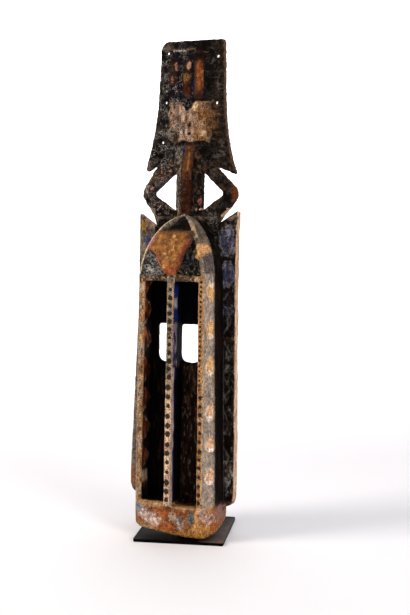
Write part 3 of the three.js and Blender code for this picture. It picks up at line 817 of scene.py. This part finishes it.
# %% The chin and the back
chin = here.chin
ground(chin, ("#5e3016", "#8a4e24", "#a87040"), 10, 151)
lay("#c9a070", chin * smooth(46, 54, z) * (y < 20))
lay("#9c4e1e", chin * (streak(-28, 20, 25, 14, 7, 31) + streak(-18, 42, 12, 38, 6, 32)))
lay("#e8d0c4", chin * streak(-45, 37, -20, 25, 10, 33) * (0.75 + 0.6 * rough(3.2, 152)))
dabs(chin, ("#7d8088", -50, 44, 5, 9, 34, 1))
lay("#b6a796", chin * streak(8, 36, 24, 20, 7, 35) * (0.7 + 0.6 * rough(3.2, 153)))
lay("#58605f", chin * (spot(42, 36, 6, 10, 36) + spot(24, 30, 4, 7, 37)))
dabs(chin * (y < 40), ("#c48a42", 60, 16, 24, 11, 73, 0.7))
lay("#c8945a", chin * streak(54, 56, 50, 14, 5, 38) * (0.8 + 0.4 * rough(5, 75)))
lay("#d3b0a0", chin * streak(60, 45, 70, 28, 8, 39) * (0.6 + 0.8 * rough(3, 154)))
lay("#aa7434", chin * fade(8, 15, z + 3 * rough(9, 155)))
dabs(chin, ("#cda878", -40, 12, 14, 5, 72, 0.8))
dabs(chin * (y > 10), ("#9a5218", 76, 20, 8, 8, 40, 1))
lay("#8a5e50", chin * (y > 30) * (x > 60) * smooth(26, 34, z))
wing_foot = (y > 27) * (x > 60) * (x < 91) * band(z + rough(5, 158), 50 - 10 * (x > 80), 66, 2)
lay("#0c0908", wing_foot * 0.9)
ground(here.behind, ("#33241a", "#523a28", "#6b4e36"), (7, 7, 40), 161)
lay("#8a6848", here.behind * flecks(0.3, 0.7, (9, 9, 20), 162) * 0.5)
print("points on the chin and the back:", (chin > 0.5).sum(), (here.behind > 0.5).sum())


# %% Keep the paint and the wear on the vertices
def keep_colour(name, channels):
    layer = wood.color_attributes.new(name, "FLOAT_COLOR", "POINT")
    values = np.column_stack([np.clip(channels, 0, 1), np.ones(len(channels))])
    layer.data.foreach_set("color", values.ravel())


# How far each point stands proud of its surroundings, in mm: arrises above zero, corners below
mean = where
for _ in range(4):
    mean = neighbour_mean(wood, mean)
proud = np.sum((where - mean) * facing, axis=1)
# The first mask marks the rubbed arrises; the second is painted shade that darkens the hollow corners.
worn, corner_shade = smooth(0.3, 0.8, proud) * (1 - 0.5 * crust(where, here)), smooth(0.08, 0.6, -proud)
pale = (1 - 0.87 * smooth(-20, 15, x)) * (1 - 0.6 * smooth(806, 814, z)) * (1 - 0.75 * band(z, 500, 533, 3))
pale *= (1 - 0.8 * ribs) * (1 - 0.7 * (side < 9.5) * band(z, 536, 650, 3))
pale = np.maximum(pale, 0.5 * here.wings * flecks(-0.1, 0.4, (10, 10, 22), 74))
keep_colour("tone", tone)
# Red is the rubbed arrises, green the painted shade in the hollow corners, blue where the curls are pale.
keep_colour("wear", np.stack([worn, corner_shade, pale], 1))
print("mean wear, painted_shade and paleness:", np.round([worn.mean(), corner_shade.mean(), pale.mean()], 3))

# %% [markdown]
# ## One recipe for weathered, painted wood
# The wood is a dense tropical hardwood, charred, smoked and painted by hand with earth colours. Such a
# surface is dielectric and mostly dull, with a soft shine where it was rubbed. One recipe reads the
# painted tone and adds what is finer than the brush: grain, flecks, dark specks, worn arrises, painted
# shade in the corners, burnt dots, pale curls that are partly painted highlight, and a matching
# unevenness of gloss and height.


# %% An empty material
def blank_finish(name):
    """A material whose tree holds only the object's own coordinates."""
    finish = bpy.data.materials.get(name) or bpy.data.materials.new(name)
    finish.use_nodes = True
    tree = finish.node_tree
    tree.nodes.clear()
    return finish, tree, add(tree, "ShaderNodeTexCoord")


# %% The recipe
def weathered(name, grain, fleck, fleck_level, fleck_size, speck_level, lines, worn_tone, gloss, shine, bump):
    """grain and fleck_size in mm along X, Y and Z; a lower level of flecks or specks means more of them.
    lines is the strength of the thin pale curls, partly the crust's own squiggles and partly painted
    highlight."""
    finish, tree, place = blank_finish(name)

    def grains(size, detail, turn, twist=0.0):
        scaled = add(tree, "ShaderNodeMapping", {
            "Vector": place.outputs["Object"], "Scale": [1 / (s * MM) for s in size], "Location": [turn] * 3})
        return add(tree, "ShaderNodeTexNoise", {
            "Vector": scaled.outputs[0], "Scale": 1.0, "Detail": detail, "Roughness": 0.6,
            "Distortion": twist}).outputs["Fac"]

    def over(below, hex_code, amount, strength, level=None, soft=0.05):
        """Lays a tone over another by an amount, or where that is above a level, with a soft edge."""
        if level is not None:
            amount = add(tree, "ShaderNodeMapRange", {
                "interpolation_type": "SMOOTHSTEP", "Value": amount,
                "From Min": level - soft, "From Max": level + soft}).outputs["Result"]
        share = add(tree, "ShaderNodeMath", {"operation": "MULTIPLY", 0: amount, 1: strength})
        return add(tree, "ShaderNodeMix", {
            "data_type": "RGBA", 0: share.outputs[0], 6: below, 7: colour(hex_code)}).outputs[2]

    painted, wear, burnt = (add(tree, "ShaderNodeAttribute", {"attribute_name": kept})
                            for kept in ("tone", "wear", "burn"))
    worn = add(tree, "ShaderNodeSeparateColor", {0: wear.outputs["Color"]})
    drift = grains(grain, 4.0, 0.0)
    fine = grains(fleck_size, 3.0, 7.3)
    specks = grains((1.8, 1.8, 1.8), 2.0, 3.1)
    strength = add(tree, "ShaderNodeMapRange", {
        "Value": drift, "From Min": 0.3, "From Max": 0.7, "To Min": 0.4, "To Max": 1.6})
    shade = add(tree, "ShaderNodeVectorMath", {
        "operation": "SCALE", 0: painted.outputs["Color"], "Scale": strength.outputs["Result"]}).outputs[0]
    shade = over(shade, fleck, fine, 0.8, fleck_level)
    # The curls run where a wandering noise is near its middle, and only in patches of pale places
    offset = add(tree, "ShaderNodeMath", {
        "operation": "SUBTRACT", 0: grains((7, 7, 7), 1.0, 5.1, 1.8), 1: 0.5})
    apart = add(tree, "ShaderNodeMath", {"operation": "ABSOLUTE", 0: offset.outputs[0]})
    thin = add(tree, "ShaderNodeMapRange", {
        "Value": apart.outputs[0], "From Min": 0.016, "From Max": 0.045, "To Min": 1.0, "To Max": 0.0})
    patches = add(tree, "ShaderNodeMapRange", {
        "interpolation_type": "SMOOTHSTEP", "Value": grains((13, 13, 13), 1.0, 9.7),
        "From Min": 0.43, "From Max": 0.59})
    fading = add(tree, "ShaderNodeMath", {
        "operation": "MULTIPLY", 0: patches.outputs["Result"], 1: worn.outputs["Blue"]})
    curls_and_glints = add(tree, "ShaderNodeMath", {
        "operation": "MULTIPLY", 0: thin.outputs["Result"], 1: fading.outputs[0]}).outputs[0]
    # The pale curls are partly the crust's own squiggles and partly painted highlight in place of its shine.
    shade = over(shade, fleck, curls_and_glints, lines)
    shade = over(shade, "#0b0807", specks, 0.85, speck_level)
    ragged = add(tree, "ShaderNodeMath", {"operation": "ADD", 0: worn.outputs["Red"], 1: fine})
    shade = over(shade, worn_tone, ragged.outputs[0], 0.7, 1.3, 0.25)
    # Painted shade: the hollow corners darken towards near black.
    shade = over(shade, "#080605", worn.outputs["Green"], 0.8)
    scorched = add(tree, "ShaderNodeMath", {
        "operation": "MULTIPLY_ADD", 0: burnt.outputs["Fac"], 1: 1.6, 2: specks})
    shade = over(shade, "#180f0a", scorched.outputs[0], 0.95, 1.25, 0.2)
    dullness = add(tree, "ShaderNodeMapRange", {
        "Value": fine, "From Min": 0.35, "From Max": 0.65, "To Min": gloss[0], "To Max": gloss[1]})
    lift = add(tree, "ShaderNodeMath", {"operation": "ADD", 0: fine, 1: drift})
    raised = add(tree, "ShaderNodeMath", {
        "operation": "MULTIPLY_ADD", 0: curls_and_glints, 1: 0.4 * lines, 2: lift.outputs[0]})
    uneven = add(tree, "ShaderNodeBump", {
        "Height": raised.outputs[0], "Strength": bump, "Distance": 0.9 * MM})
    shader = add(tree, "ShaderNodeBsdfPrincipled", {
        "Base Color": shade, "Roughness": dullness.outputs["Result"], "Normal": uneven.outputs[0],
        "Metallic": 0.0, "IOR": 1.5, "Specular IOR Level": shine})
    add(tree, "ShaderNodeOutputMaterial", {0: shader.outputs[0]})
    return finish


# %% [markdown]
# ## The finishes of the mask
# Each zone of the carving has its own history: soot and paint crust on the crest, rubbed ochre on the
# brow, planed and smoked strips on the face, black char deep in the slots, and bare adzed wood behind.

# %% One finish for each zone
finishes = [weathered(*recipe) for recipe in (
    ("soot_crust", (5, 5, 7), "#a49c96", 0.74, (2.4, 2.4, 2.4), 0.56, 0.85, "#231913",
     (0.5, 0.75), 0.02, 0.9),
    ("rubbed_ochre", (6, 6, 8), "#d4a45c", 0.67, (2.2, 2.2, 3.2), 0.62, 0, "#a06830", (0.45, 0.7), 0.12, 0.5),
    ("planed_strips", (4, 4, 14), "#d8b488", 0.62, (2, 2, 3.2), 0.56, 0, "#b88f60", (0.45, 0.7), 0.2, 0.5),
    ("greyed_bevel", (4, 4, 5), "#d2c4b4", 0.63, (1.8, 1.8, 2), 0.62, 0, "#b8a692", (0.45, 0.7), 0.2, 0.5),
    ("charred_wood", (4, 4, 26), "#4a403a", 0.7, (2, 2, 5), 0.6, 0, "#2a1a12", (0.5, 0.8), 0.03, 0.4),
    ("chin_wood", (6, 6, 7), "#dcc0a4", 0.64, (2.2, 2.2, 2.2), 0.59, 0.15, "#b88a50", (0.45, 0.7), 0.15, 0.6),
    ("adzed_back", (4, 4, 40), "#8a6c4e", 0.68, (2, 2, 14), 0.64, 0, "#85664a", (0.6, 0.85), 0.2, 0.4),
)]
zone_names = [finish.name for finish in finishes]
print("finishes:", zone_names)

# %% Give every face its zone
middles, turned = to_mask(read(wood.polygons, "center")), upright(read(wood.polygons, "normal"))
here = parts_of_carving(middles, turned)
x, y, z = middles.T
side = np.abs(x)
zones = np.zeros(len(middles), np.int32)


def assign(name, mask):
    zones[mask] = zone_names.index(name)


box = (z < ARCH_FOOT) & (y < PLANK_FRONT) & (side < side_half(x, z) + 3)
assign("charred_wood", box & (y > BEVEL_DEPTH))
assign("greyed_bevel", (here.bevel > 0.5) & (z < 525))
strips = (y < STRIP_BACK) & (z < STRIP_TOP) & (z > STRIP_FOOT)
assign("planed_strips", strips & (side < arch_half(x, z) - 0.5))
wing_edge = (side > 70) & (turned[:, 0] * np.sign(x) > 0.5) & (y > PLANK_FRONT - 2)
assign("planed_strips", wing_edge & (z < WING_TOP))
assign("rubbed_ochre", (here.ribs > 0.5) & (x > 0) & (z < 792))
assign("rubbed_ochre", (side < 8.5) & (z > 592) & (z < 650) & (y < 74))
assign("rubbed_ochre", here.tongue > 0.5)
assign("chin_wood", here.chin > 0.5)
assign("charred_wood", here.slot > 0.5)
assign("adzed_back", here.behind > 0.6)
for finish in finishes:
    if finish.name not in wood.materials:
        wood.materials.append(finish)
order = [wood.materials.find(name) for name in zone_names]
wood.polygons.foreach_set("material_index", np.array(order, np.int32)[zones])
wood.polygons.foreach_set("use_smooth", np.ones(len(wood.polygons), bool))
wood.update()
carved_mask = linked("carved_mask", wood)
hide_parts("wooden_mask")
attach(carved_mask, "root")
print("faces in each zone:", dict(zip(zone_names, np.bincount(zones, minlength=len(zone_names)).tolist())))

# %% [markdown]
# ## The steel stand
# The plate and the rod are mild steel under a thin black wax finish. The plate's edges were
# filed, so a small bevel on a merged copy of the solid catches the light as the real edge does.

# %% Blackened steel
steel, tree, place = blank_finish("blackened_waxed_steel")
smears = add(tree, "ShaderNodeTexNoise", {
    "Vector": place.outputs["Object"], "Scale": 1 / (22 * MM), "Detail": 5.0, "Roughness": 0.6})
tones = add(tree, "ShaderNodeValToRGB", {0: smears.outputs["Fac"]})
tones.color_ramp.elements[0].color = colour("#040303")
tones.color_ramp.elements[1].color = colour("#0c0908")
# Painted reflection: the right end of the plate's top is lighter brown-grey, on the faces that look up
split = add(tree, "ShaderNodeSeparateXYZ", {0: place.outputs["Object"]})
ragged = add(tree, "ShaderNodeMath", {
    "operation": "MULTIPLY_ADD", 0: smears.outputs["Fac"], 1: 0.05, 2: split.outputs[0]})
right_end = add(tree, "ShaderNodeMapRange", {"Value": ragged.outputs[0], "From Min": 0.07, "From Max": 0.1})
facing_up = add(tree, "ShaderNodeSeparateXYZ", {0: place.outputs["Normal"]})
on_top = add(tree, "ShaderNodeMath", {
    "operation": "MULTIPLY", "use_clamp": True, 0: right_end.outputs["Result"], 1: facing_up.outputs[2]})
painted_reflection = add(tree, "ShaderNodeMix", {
    "data_type": "RGBA", 0: on_top.outputs[0], 6: tones.outputs[0], 7: colour("#5c4f49")})
dullness = add(tree, "ShaderNodeMapRange", {"Value": smears.outputs["Fac"], "To Min": 0.3, "To Max": 0.45})
grit = add(tree, "ShaderNodeTexNoise", {
    "Vector": place.outputs["Object"], "Scale": 1 / (1.5 * MM), "Detail": 2.0})
uneven = add(tree, "ShaderNodeBump", {"Height": grit.outputs["Fac"], "Strength": 0.12, "Distance": 0.2 * MM})
shader = add(tree, "ShaderNodeBsdfPrincipled", {
    "Base Color": painted_reflection.outputs[2], "Roughness": dullness.outputs["Result"], "Normal": uneven.outputs[0],
    "Metallic": 0.0, "IOR": 1.45, "Specular IOR Level": 0.01})
add(tree, "ShaderNodeOutputMaterial", {0: shader.outputs[0]})
print("nodes in the steel:", len(tree.nodes))


# %% The plate and the rod
def filed_copy(node, name, bevel):
    holder = merged_copy(node, name + "_raw")
    modify(holder, "BEVEL", width=bevel, segments=3, limit_method="ANGLE", angle_limit=math.radians(40))
    mesh = plain_mesh(holder, name)
    mesh.materials.append(steel)
    piece = linked(name, mesh)
    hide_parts(node)
    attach(piece, "root")
    return piece


base = filed_copy("stand_base_plate", "base_plate", 0.5 * MM)
rod = filed_copy("stand_rod", "support_rod", 0.4 * MM)
print("plate faces:", len(base.data.polygons), "rod faces:", len(rod.data.polygons))

# %% [markdown]
# ## Studio
# The photograph has a near-white sweep and one broad soft light from the left front, with a weaker one
# from the right, in a dark room. The dark room keeps the soot black. The sweep is a pale sheet that lies
# on the table and curves up behind the mask. Further back it glows, painted light in place of lamps on the
# background.

# %% The sweep's sheet, its profile along the view direction drawn out sideways
SWEEP_FRONT = -3.0
SWEEP_BEND = 1.6
SWEEP_RADIUS = 1.0
SWEEP_TOP = 3.4
SWEEP_HALF = 4.0
CAMERA_TURN = 19.954

bend = [(SWEEP_BEND + SWEEP_RADIUS * math.sin(a), SWEEP_RADIUS * (1 - math.cos(a)))
        for a in np.linspace(0, math.pi / 2, 17)]
profile = [(SWEEP_FRONT, 0.0), *bend, (SWEEP_BEND + SWEEP_RADIUS, SWEEP_TOP)]
cosine, sine = math.cos(math.radians(CAMERA_TURN)), math.sin(math.radians(CAMERA_TURN))
points = [(across * cosine - far * sine, across * sine + far * cosine, up)
          for far, up in profile for across in (-SWEEP_HALF, SWEEP_HALF)]
faces = [(2 * i, 2 * i + 1, 2 * i + 3, 2 * i + 2) for i in range(len(profile) - 1)]
sweep = bpy.data.meshes.new("studio_sweep")
sweep.from_pydata(points, [], faces)
sweep.polygons.foreach_set("use_smooth", [True] * len(faces))
print("faces of the sweep:", len(faces))

# %% Its paper, which glows behind the mask
paper, tree, place = blank_finish("glowing_paper")
far_back = add(tree, "ShaderNodeVectorMath", {
    "operation": "DOT_PRODUCT", 0: place.outputs["Object"], 1: (-sine, cosine, 0)})
# Painted light: the paper glows more the further back it lies.
glow = add(tree, "ShaderNodeMapRange", {
    "interpolation_type": "SMOOTHSTEP", "Value": far_back.outputs["Value"],
    "From Min": 0.4, "From Max": 2.4, "To Min": 0.0, "To Max": 0.9})
shader = add(tree, "ShaderNodeBsdfPrincipled", {
    "Base Color": colour("#f2f2f8"), "Roughness": 0.7, "Emission Color": colour("#fffdfd"),
    "Emission Strength": glow.outputs["Result"]})
add(tree, "ShaderNodeOutputMaterial", {0: shader.outputs[0]})
sweep.materials.append(paper)
sheet = linked("studio_sweep", sweep)


# %% Lights
def soft_light(name, place, aim, side, watts, tint):
    lamp = bpy.data.lights.new(name, "AREA")
    lamp.size = side
    lamp.energy = watts
    lamp.color = colour(tint)[:3]
    holder = linked(name, lamp)
    from_aim = np.array(place) - np.array(aim)
    flat = math.hypot(from_aim[0], from_aim[1])
    holder.location = place
    holder.rotation_euler = (math.atan2(flat, from_aim[2]), 0, math.atan2(from_aim[0], -from_aim[1]))


soft_light("key", (-2.1, -1.3, 1.9), (0, 0, 0.4), 0.9, 62, "#fff6ea")
soft_light("fill", (2.2, -1.4, 1.1), (0, 0, 0.4), 1.0, 40, "#fffaf4")
soft_light("top", (0.1, 0.2, 2.6), (0, 0, 0.3), 1.6, 24, "#ffffff")
world = bpy.data.worlds.new("studio")
world.use_nodes = True
room = world.node_tree.nodes["Background"].inputs
room["Color"].default_value = colour("#ffffff")
room["Strength"].default_value = 0.06
bpy.context.scene.world = world
bpy.context.scene.view_settings.view_transform = "Standard"

# %% The camera at the photograph's place
CAMERA_AT = (0.6422, -1.6729, 0.5630)
CAMERA_DOWN = 5.787
LONG_SIDE_PX = 615
FOCAL_PX = 1079.7
SENSOR = 36

lens = bpy.data.cameras.new("camera")
lens.sensor_width = SENSOR
lens.lens = FOCAL_PX / LONG_SIDE_PX * SENSOR
camera = linked("camera", lens)
camera.location = CAMERA_AT
camera.rotation_euler = (math.radians(90 - CAMERA_DOWN), 0, math.radians(CAMERA_TURN))
bpy.context.scene.camera = camera
print("lens in mm:", round(lens.lens, 1))
